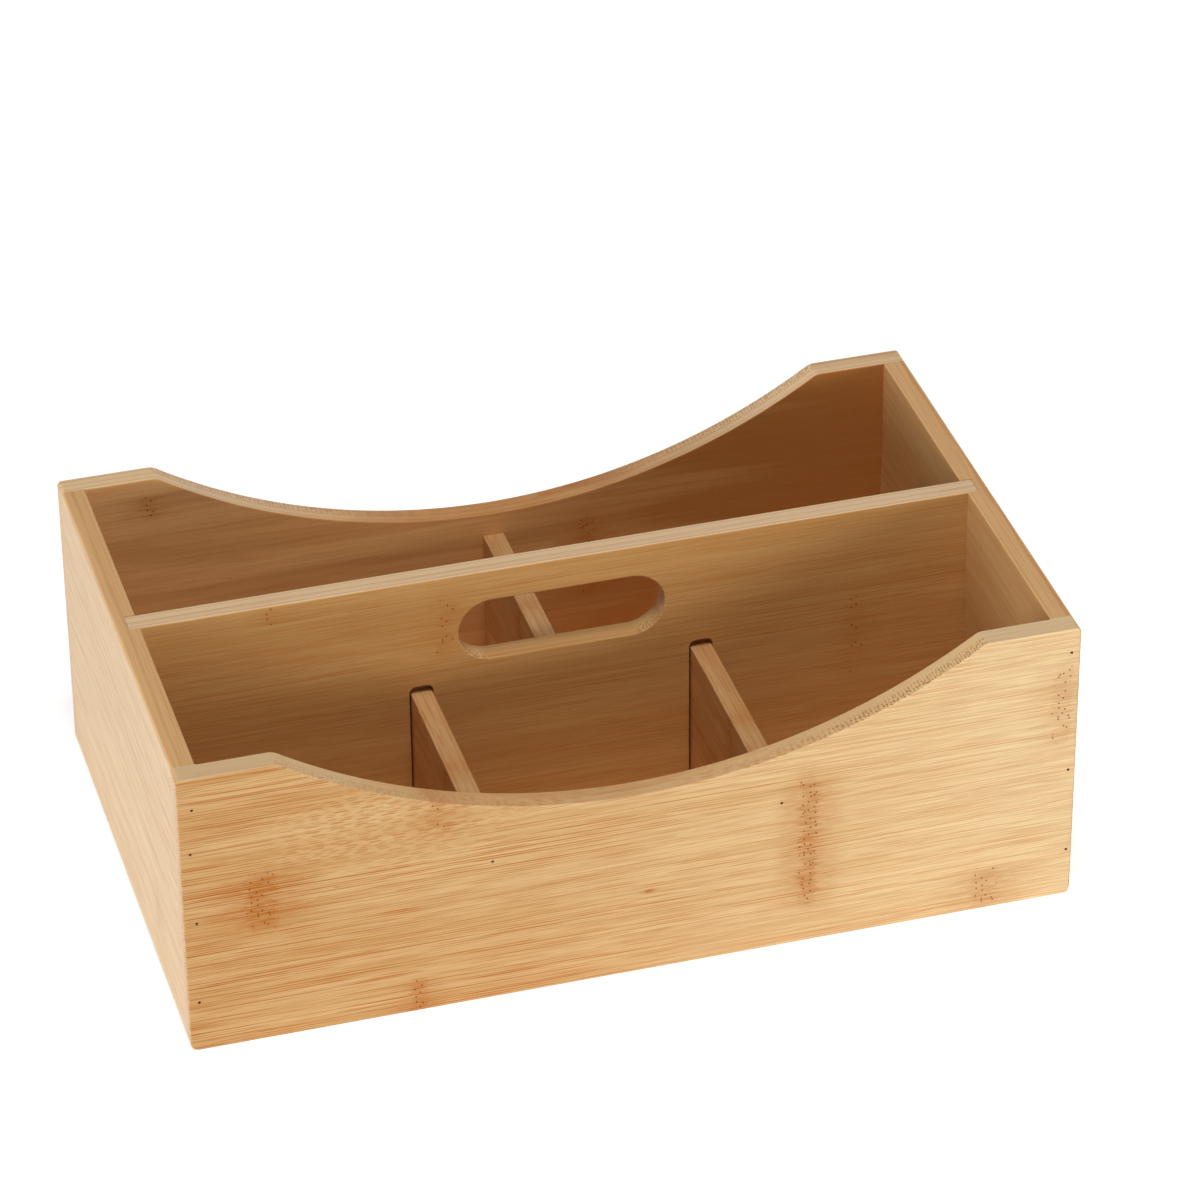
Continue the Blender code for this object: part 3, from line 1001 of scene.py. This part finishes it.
@dataclass
class ScoopedPanel(Board):
    """Front or rear panel: two ears, a wide scoop between them, and holes for the brads.

    Attributes:
        side: Front or rear.
        brads: Nodes of the brads driven through the panel.
    """

    slot: ClassVar[str] = "bamboo_face"
    side: Side
    brads: Sequence[str]
    ear_width: float = 35.0 * MM
    scoop_depth: float = 38.0 * MM
    scoop_steps: int = 80
    scoop_margin: float = 0.4
    ear_radius: float = 6.0 * MM
    foot_radius: float = 3.0 * MM
    corner_steps: int = 6
    rim_radius: float = 1.6 * MM
    rim_steps: int = 5
    edge_radius: float = 0.6 * MM
    edge_steps: int = 4
    hole_clearance: float = 0.06 * MM
    hole_segments: int = 20

    def outline(self, side_inset: float, scoop_inset: float) -> list[Turn]:
        """List the stretches of the panel's outline.

        Args:
            side_inset: How far the foot, sides and outer corners lie inside the full outline.
            scoop_inset: How far the ears and the scoop lie inside it.

        Returns:
            The stretches, round from the left foot.
        """
        top = self.joinery.height
        half_chord = self.joinery.half_width - self.ear_width
        radius = (half_chord ** 2 + self.scoop_depth ** 2) / (2.0 * self.scoop_depth)
        centre = top - self.scoop_depth + radius
        ear_level = top - self.ear_radius
        ear = math.sqrt((radius + self.ear_radius) ** 2 - (centre - ear_level) ** 2)
        lean = math.degrees(math.atan2(centre - ear_level, ear))
        scoop_start = -lean - self.scoop_margin
        scoop_sweep = 2.0 * (lean + self.scoop_margin - QUARTER)
        foot = self.joinery.half_width - self.foot_radius
        foot_round = self.foot_radius - side_inset
        rim = self.joinery.half_width - self.rim_radius
        rim_level = top - self.rim_radius
        rim_round = self.rim_radius - side_inset
        ear_round = self.ear_radius - scoop_inset
        inner = self.joinery.inner_half_width
        stop = inner - self.edge_radius
        return [
            Turn(-foot, self.foot_radius, foot_round, 2 * QUARTER, QUARTER, self.corner_steps),
            Turn(foot, self.foot_radius, foot_round, 3 * QUARTER, QUARTER, self.corner_steps),
            Turn(rim, rim_level, rim_round, 0.0, QUARTER, self.rim_steps),
            Turn(inner, top - side_inset),
            Turn(stop, top - scoop_inset),
            Turn(ear, ear_level, ear_round, QUARTER, QUARTER - lean, self.corner_steps),
            Turn(0.0, centre, radius + scoop_inset, scoop_start, scoop_sweep, self.scoop_steps),
            Turn(-ear, ear_level, ear_round, lean, QUARTER - lean, self.corner_steps),
            Turn(-stop, top - scoop_inset),
            Turn(-inner, top - side_inset),
            Turn(-rim, rim_level, rim_round, QUARTER, QUARTER, self.rim_steps),
        ]

    def build(self) -> None:
        """Draw the panel from its outer face to its inner one."""
        bm = bmesh.new()
        thickness = self.joinery.panel
        stations = list_stations(thickness, self.edge_radius, self.edge_steps)
        places = [self.side.sign * (self.joinery.half_depth - deep) for deep, _ in stations]
        loops = [
            draw_loop(bm, y, self.outline(inset if deep < thickness / 2.0 else 0.0, inset))
            for y, (deep, inset) in zip(places, stations)
        ]
        bridge(bm, loops)
        holes = []
        for brad in self.brads:
            low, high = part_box(brad)
            middle = (low + high) / 2.0
            radius = (high.x - low.x) / 2.0 + self.hole_clearance
            holes.append([
                draw_circle(bm, Vector((middle.x, y, middle.z)), radius, self.hole_segments)
                for y in (places[0], places[-1])
            ])
            bridge(bm, holes[-1])
        for end in (0, -1):
            cap(bm, loops[end], [hole[end] for hole in holes])
        self.finish(bm)


@dataclass
class EndPanel(Board):
    """Left or right end panel, with the housing that takes the divider's end."""

    slot: ClassVar[str] = "bamboo_side"
    side: Side
    rim_radius: float = 1.6 * MM
    foot_radius: float = 3.0 * MM
    inner_radius: float = 0.6 * MM
    edge_steps: int = 5
    housing_depth: float = 4.0 * MM

    def build(self) -> None:
        """Draw the panel's plan with its housing, push it up and round over its long edges."""
        bm = bmesh.new()
        sign = self.side.sign
        outer = sign * self.joinery.half_width
        inner = sign * self.joinery.inner_half_width
        housed = sign * (self.joinery.inner_half_width + self.housing_depth)
        reach = self.joinery.inner_half_depth - SEAM
        mouth = self.joinery.divider / 2.0 + SEAM
        plan = (
            (outer, -reach), (outer, reach), (inner, reach), (inner, mouth),
            (housed, mouth), (housed, -mouth), (inner, -mouth), (inner, -reach),
        )
        bm.faces.new([bm.verts.new((x, y, 0.0)) for x, y in plan])
        pushed = bmesh.ops.extrude_face_region(bm, geom=bm.faces[:])
        raised = [item for item in pushed["geom"] if isinstance(item, BMVert)]
        bmesh.ops.translate(bm, verts=raised, vec=(0.0, 0.0, self.joinery.height))
        self.round_long_edges(bm, outer, self.joinery.height, self.rim_radius)
        self.round_long_edges(bm, outer, 0.0, self.foot_radius)
        self.round_long_edges(bm, inner, self.joinery.height, self.inner_radius)
        self.finish(bm)

    def round_long_edges(self, bm: BMesh, x: float, z: float, radius: float) -> None:
        """Round over the edges that run from front to rear at one place.

        Args:
            bm: The mesh.
            x: Place of the edges across the organizer.
            z: Their height.
            radius: Radius of the rounding.
        """
        at = [
            edge for edge in bm.edges
            if all(abs(vert.co.x - x) < SEAM / 2 and abs(vert.co.z - z) < SEAM / 2 for vert in edge.verts)
        ]
        round_over(bm, at, radius, self.edge_steps)


@dataclass
class Partition(Board):
    """Low board between a panel and the divider.

    Attributes:
        side: Front or rear row.
        low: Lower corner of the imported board.
        high: Upper corner of it.
    """

    side: Side
    edge_radius: float = 0.6 * MM
    edge_steps: int = 4
    low: Vector = field(init=False)
    high: Vector = field(init=False)

    def __post_init__(self) -> None:
        """Read the partition's place from the frame."""
        self.low, self.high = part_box(self.node)

    def build(self) -> None:
        """Draw the board and round over the edges of its top."""
        bm = bmesh.new()
        low, high = self.low.copy(), self.high.copy()
        low.z = self.joinery.floor + SEAM
        if self.side is Side.FRONT:
            low.y = -self.joinery.inner_half_depth + SEAM
        else:
            high.y = self.joinery.inner_half_depth - SEAM
        place = Matrix.LocRotScale((low + high) / 2.0, None, high - low)
        bmesh.ops.create_cube(bm, size=1.0, matrix=place)
        top = [edge for edge in bm.edges if all(vert.co.z > high.z - SEAM for vert in edge.verts)]
        upright = [edge for edge in bm.edges if abs(edge.verts[0].co.z - edge.verts[1].co.z) > SEAM]
        round_over(bm, top + upright, self.edge_radius, self.edge_steps)
        self.finish(bm)


@dataclass
class CentreDivider(Board):
    """Full-height divider with the handle slot and the housings for the partitions.

    Attributes:
        partitions: The partitions housed in it.
    """

    partitions: Sequence[Partition]
    slot_length: float = 76.0 * MM
    slot_height: float = 24.4 * MM
    slot_steps: int = 24
    grip_height: float = 12.4 * MM
    end_reach: float = 3.9 * MM
    edge_radius: float = 0.6 * MM
    edge_steps: int = 4
    housing_depth: float = 3.5 * MM
    housing_headroom: float = 3.3 * MM
    housing_radius: float = 2.8 * MM
    housing_steps: int = 8
    housing_foot: float = 3.0 * SEAM
    play_left: float = 0.75 * MM
    play_right: float = 0.2 * MM

    def outline(self, top_inset: float) -> list[Turn]:
        """List the corners of the board's outline.

        Args:
            top_inset: How far its top edge is set in.

        Returns:
            The corners, round from the left foot.
        """
        reach = self.joinery.inner_half_width + self.end_reach
        foot = self.joinery.floor + SEAM
        top = self.joinery.height - top_inset
        return [Turn(-reach, foot), Turn(reach, foot), Turn(reach, top), Turn(-reach, top)]

    def slot_outline(self, flare: float) -> list[Turn]:
        """List the two round ends of the handle slot.

        Args:
            flare: How much wider the slot is here than in the middle of the board.

        Returns:
            The right end, then the left one.
        """
        radius = self.slot_height / 2.0
        reach = self.slot_length / 2.0 - radius
        level = self.joinery.height - self.grip_height - radius
        return [
            Turn(end * reach, level, radius + flare, -end * QUARTER, 2 * QUARTER, self.slot_steps)
            for end in (1.0, -1.0)
        ]

    def housing_outline(self, partition: Partition) -> list[Turn]:
        """List the stretches of a housing, round at its upper corners.

        Args:
            partition: The partition housed there.

        Returns:
            The stretches, round from the left foot.
        """
        left = partition.low.x - self.play_left
        right = partition.high.x + self.play_right
        foot = self.joinery.floor + self.housing_foot
        round_off = self.housing_radius
        shoulder = partition.high.z + self.housing_headroom - round_off
        return [
            Turn(left, foot),
            Turn(right, foot),
            Turn(right - round_off, shoulder, round_off, 0.0, QUARTER, self.housing_steps),
            Turn(left + round_off, shoulder, round_off, QUARTER, QUARTER, self.housing_steps),
        ]

    def build(self) -> None:
        """Draw the board from its front face to its rear one, then sink the housings."""
        bm = bmesh.new()
        half = self.joinery.divider / 2.0
        stations = list_stations(self.joinery.divider, self.edge_radius, self.edge_steps)
        outlines = [draw_loop(bm, deep - half, self.outline(inset)) for deep, inset in stations]
        bridge(bm, outlines)
        slots = [draw_loop(bm, deep - half, self.slot_outline(inset)) for deep, inset in stations]
        bridge(bm, slots)
        pockets: dict[float, list[list[BMEdge]]] = {-half: [], half: []}
        for partition in self.partitions:
            face = math.copysign(half, partition.side.sign)
            pockets[face].append(draw_loop(bm, face, self.housing_outline(partition)))
        cap(bm, outlines[0], [slots[0], *pockets[-half]])
        cap(bm, outlines[-1], [slots[-1], *pockets[half]])
        for face, rims in pockets.items():
            for rim in rims:
                sink(bm, rim, -math.copysign(self.housing_depth, face))
        self.finish(bm)


# Studio


@dataclass(frozen=True)
class SoftBox:
    """One large studio lamp.

    Attributes:
        name: Name of the lamp.
        place: Where it stands, in metres.
        aim: What it points at.
        width: Its width.
        height: Its height.
        power: Its power in watts.
    """

    name: str
    place: Triple
    aim: Triple
    width: float
    height: float
    power: float

    def build(self) -> None:
        """Set up the lamp."""
        data = bpy.data.lights.new(self.name, "AREA")
        data.shape = "RECTANGLE"
        data.size = self.width
        data.size_y = self.height
        data.energy = self.power
        lamp = add_object(self.name, data)
        away = Vector(self.place) - Vector(self.aim)
        lamp.matrix_world = Matrix.Translation(self.place) @ away.to_track_quat("Z", "Y").to_matrix().to_4x4()


@dataclass(frozen=True)
class Studio:
    """Pale floor, soft lamps and the camera.

    Attributes:
        lamps: The lamps.
        sky_level: Strength of the even light from all round.
        floor_reach: Half the floor's width, in metres.
        floor_grey: Colour of the floor.
        floor_glow: How bright the floor looks by itself near the organizer, where it keeps the shadow.
        glow_start: Distance at which it begins to get brighter, in metres.
        glow_full: Distance from which it looks white.
        camera_place: Where the camera stands, in metres.
        camera_yaw: Its turn about the upright, in radians.
        camera_pitch: Its tilt from straight down.
        camera_roll: Its turn about its line of sight.
        camera_lens: Its focal length, in millimetres.
        camera_sensor: Width of its sensor, in millimetres.
        camera_reach: How far it sees, in metres.
    """

    lamps: tuple[SoftBox, ...] = (
        SoftBox("front_lamp", (0.7, -1.6, 0.15), (0.05, 0.0, 0.08), 1.8, 0.26, 11.1),
        SoftBox("left_lamp", (-1.8, -0.4, 0.15), (0.0, 0.0, 0.08), 1.4, 0.26, 15.2),
        SoftBox("top_lamp", (-0.2, -0.8, 2.5), (0.0, 0.0, 0.05), 0.9, 0.9, 34.0),
    )
    sky_level: float = 0.16
    floor_reach: float = 8.0
    floor_grey: float = 0.8
    floor_glow: float = 0.62
    glow_start: float = 0.7
    glow_full: float = 1.5
    camera_place: Triple = (-0.43408, -1.57438, 1.16428)
    camera_yaw: float = -0.27798
    camera_pitch: float = 0.99019
    camera_roll: float = -0.00885
    camera_lens: float = 165.13
    camera_sensor: float = 36.0
    camera_reach: float = 30.0

    def build(self) -> None:
        """Set up the whole studio."""
        self.build_floor()
        self.build_sky()
        for lamp in self.lamps:
            lamp.build()
        self.build_camera()
        bpy.context.scene.view_settings.view_transform = "Standard"

    @staticmethod
    def seen(sheet: Sheet) -> Wire:
        """Mark what the camera sees straight, in a gloss or through something clear."""
        path = sheet.fill(sheet.add("ShaderNodeLightPath"), {})
        return path.is_camera_ray.apply("MAXIMUM", path.is_transmission_ray).apply("MAXIMUM", path.is_glossy_ray)

    def build_floor(self) -> None:
        """Lay the pale floor, which keeps a soft shadow."""
        bm = bmesh.new()
        bmesh.ops.create_grid(bm, x_segments=1, y_segments=1, size=self.floor_reach)
        floor = add_mesh("floor", bm)
        material, sheet, shader = new_material("pale_floor")
        glow = sheet.coordinate("Object").length().ease(self.glow_start, self.glow_full, self.floor_glow, 1.0)
        sheet.fill(shader, {
            "Base Color": (self.floor_grey, self.floor_grey, self.floor_grey),
            "Roughness": 1.0,
            "Specular IOR Level": 0.0,
            "Emission Color": (1.0, 1.0, 1.0),
            "Emission Strength": self.seen(sheet) * glow,
        })
        floor.data.materials.append(material)

    def build_sky(self) -> None:
        """Light the scene evenly from all round, over a white background."""
        world = bpy.data.worlds.new("studio")
        world.use_nodes = True
        bpy.context.scene.world = world
        sheet = Sheet(world.node_tree)
        level = self.seen(sheet).ease(0.0, 1.0, self.sky_level, 1.0)
        sheet.fill(world.node_tree.nodes["Background"], {"Color": (1.0, 1.0, 1.0), "Strength": level})

    def build_camera(self) -> None:
        """Place the camera where it sees the organizer as it was photographed."""
        data = bpy.data.cameras.new("camera")
        data.sensor_width = self.camera_sensor
        data.lens = self.camera_lens
        data.clip_end = self.camera_reach
        camera = add_object("camera", data)
        turned = (
            Matrix.Rotation(self.camera_yaw, 4, "Z")
            @ Matrix.Rotation(self.camera_pitch, 4, "X")
            @ Matrix.Rotation(self.camera_roll, 4, "Z")
        )
        camera.matrix_world = Matrix.Translation(self.camera_place) @ turned
        bpy.context.scene.camera = camera


# The organizer


class Organizer:
    """The whole organizer: boards, finishes and brads."""

    def __init__(self) -> None:
        """Read the joinery and share out the brads."""
        self.joinery = Joinery.measured()
        self.groups = BambooGroups()
        self.brads = [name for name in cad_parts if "nail" in name]

    def build(self) -> None:
        """Build and dress every piece, in order."""
        joinery = self.joinery
        front, rear = [
            ScoopedPanel(
                f"{row}_panel_board", f"{row}_panel", joinery, side,
                brads=sorted(name for name in self.brads if name.startswith(row)),
            )
            for row, side in (("front", Side.FRONT), ("rear", Side.REAR))
        ]
        left = EndPanel("left_end_board", "left_end_panel", joinery, Side.LEFT)
        right = EndPanel("right_end_board", "right_end_panel", joinery, Side.RIGHT)
        partitions = [
            Partition(f"{node}_board", node, joinery, side)
            for node, side in (
                ("front_left_partition", Side.FRONT),
                ("front_right_partition", Side.FRONT),
                ("rear_partition", Side.REAR),
            )
        ]
        divider = CentreDivider("divider_board", "centre_divider", joinery, partitions)
        finishes = [
            self.front_finish(),
            self.rear_finish(),
            self.end_finish("left_end_bamboo", left.side, (40.0, 310.0, 90.0)),
            self.end_finish("right_end_bamboo", right.side, (510.0, 130.0, 240.0)),
            *(self.partition_finish(number, partition) for number, partition in enumerate(partitions)),
            self.divider_finish(),
        ]
        for board, finish in zip((front, rear, left, right, *partitions, divider), finishes):
            board.build()
            board.dress(finish, self.groups)
        self.dress_nodes(["base_board"], self.base_finish().make(self.groups))
        self.dress_nodes(self.brads, BradFinish().make())

    def panel_middle(self, side: Side) -> float:
        """Place of the middle of the front or rear panel's thickness, in millimetres."""
        return side.sign * (self.joinery.half_depth - self.joinery.panel / 2) / MM

    def knuckles(self, *rows: Sequence[float]) -> tuple[Knuckle, ...]:
        """Place the knuckles of a long board, each given with its distance from the organizer's left end first."""
        half = self.joinery.half_width / MM
        return tuple(Knuckle(row[0] - half, *row[1:]) for row in rows)

    def front_finish(self) -> BambooFinish:
        """Finish of the front panel, with its knuckles and dashes where the board has them.

        Returns:
            The finish.
        """
        half = self.joinery.half_width / MM
        return BambooFinish(
            name="front_bamboo", pale=tint(254, 224, 171), honey=tint(219, 175, 115),
            # Painted light: the panel is painted paler towards its right end, with its upward faces paler near the
            # top and darker low in the scoop.
            middle=self.panel_middle(Side.FRONT), glue=0.12, contrast=1.05, depth=0.86, fade=0.98,
            edge_pale=0.7, edge_shade=0.22, dots_start=10.0, dots_full=80.0,
            dashes=(DashPatch((75.0 - half, -94.0, 81.0), (56.0, 60.0, 22.0)),),
            knuckles=self.knuckles(
                (27.0, 58.0, 8.5, 13.0, 1.0, 0.5),
                (89.0, 81.0, 5.5, 9.0, 0.6, 0.35),
                (221.5, 43.0, 5.0, 29.0, 0.88, 0.8),
                (81.0, 5.0, 4.5, 9.0, 0.75, 0.8),
                (288.0, 9.0, 8.0, 9.0, 0.6, 0.5),
                (314.0, 82.0, 5.5, 17.0, 0.45),
                (164.0, 33.5, 1.6, 0.9),
            ),
        )

    def rear_finish(self) -> BambooFinish:
        """Finish of the rear panel.

        Returns:
            The finish.
        """
        return BambooFinish(
            name="rear_bamboo", pale=tint(250, 200, 136), honey=tint(188, 126, 68),
            middle=self.panel_middle(Side.REAR), skin_side=Side.REAR.sign, shift=(830.0, 75.0, 410.0),
            # Painted light: the panel is painted darker towards its right end, and its upward faces are painted
            # paler near the top.
            contrast=0.6, edge_pale=0.9, fibre=0.26, depth=0.1, fade=-1.1,
            cut_ground=tint(242, 208, 162), cut_brown=tint(244, 210, 166), cut_dots=tint(176, 126, 78),
            knuckles=self.knuckles(
                (32.0, 101.0, 5.0, 5.0, 0.6),
                (196.0, 50.0, 5.0, 18.0, 0.8),
                (262.0, 22.0, 5.0, 15.0, 0.7),
            ),
        )

    def end_finish(self, name: str, side: Side, shift: Triple) -> BambooFinish:
        """Finish of an end panel, whose outer face is painted pale as painted sheen and whose upper faces near the
        top are painted paler as painted top light.

        Args:
            name: Name of the material.
            side: Left or right.
            shift: Millimetres added to the board's vector.

        Returns:
            The finish.
        """
        return BambooFinish(
            name=name, run=FibreRun.ALONG_Y, pale=tint(231, 193, 137), honey=tint(209, 161, 99),
            # Painted sheen on the outer face, and painted top light on the upward faces near the top.
            streak=tint(184, 100, 30), shift=shift, skin_side=side.sign, skin_share=0.6,
            middle=side.sign * (self.joinery.half_width - self.joinery.end / 2) / MM,
            contrast=0.7, half_length=90.0, glue=0.3, edge_pale=0.4, cut_ground=tint(242, 188, 130),
            knuckles=(Knuckle(-52.0, 30.0, 4.0, 12.0, 0.25, 0.0),),
        )

    @staticmethod
    def partition_finish(number: int, partition: Partition) -> BambooFinish:
        """Finish of one partition.

        Args:
            number: Its number, which sets where its pattern is read.
            partition: The partition.

        Returns:
            The finish.
        """
        middle = (partition.low + partition.high) / (2.0 * MM)
        return BambooFinish(
            name=f"{partition.node}_bamboo", run=FibreRun.ALONG_Y,
            pale=tint(218, 182, 130), honey=tint(190, 138, 82),
            shift=(190.0 * number + 70.0, 45.0 * number, 120.0 * number + 15.0),
            middle=middle.x, ply=2.7, contrast=0.8, waver=5.0, wave_length=45.0, half_length=45.0,
            knuckles=(Knuckle(middle.y - 6.0, 40.0, 4.0, 40.0, 0.6),),
        )

    def divider_finish(self) -> BambooFinish:
        """Finish of the divider, painted darker than the outer boards as painted shade inside the organizer, with
        its top painted paler as painted top light.

        Returns:
            The finish.
        """
        return BambooFinish(
            # Painted shade: colours darker than the outer boards' stand in for the shade inside the organizer. The
            # pale top colour is painted top light.
            name="divider_bamboo", pale=tint(218, 174, 112), honey=tint(192, 140, 78),
            shift=(350.0, 160.0, 720.0), contrast=0.5, edge_pale=0.8, fibre=0.24, cut_ground=tint(246, 214, 172),
            knuckles=self.knuckles(
                (117.4, 92.0, 4.5, 13.0, 0.45, 0.45),
                (54.5, 109.0, 4.0, 4.0, 0.3, 0.5),
                (270.0, 60.0, 4.5, 18.0, 0.3, 0.4),
            ),
        )

    @staticmethod
    def base_finish() -> BambooFinish:
        """Finish of the base board.

        Returns:
            The finish.
        """
        return BambooFinish(
            name="base_bamboo", pale=tint(232, 194, 144), honey=tint(204, 150, 92),
            shift=(90.0, 640.0, 30.0), ply=24.0, contrast=0.6,
        )

    @staticmethod
    def dress_nodes(names: Iterable[str], material: Material) -> None:
        """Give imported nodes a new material.

        Args:
            names: Names of the nodes.
            material: The material.
        """
        for name in names:
            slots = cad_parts[name].data.materials
            slots.clear()
            slots.append(material)


def main() -> None:
    """Build the organizer and its studio, in order."""
    logging.basicConfig(level=logging.INFO, format="%(name)s: %(message)s")
    Organizer().build()
    Studio().build()


if __name__ == "__main__":
    main()
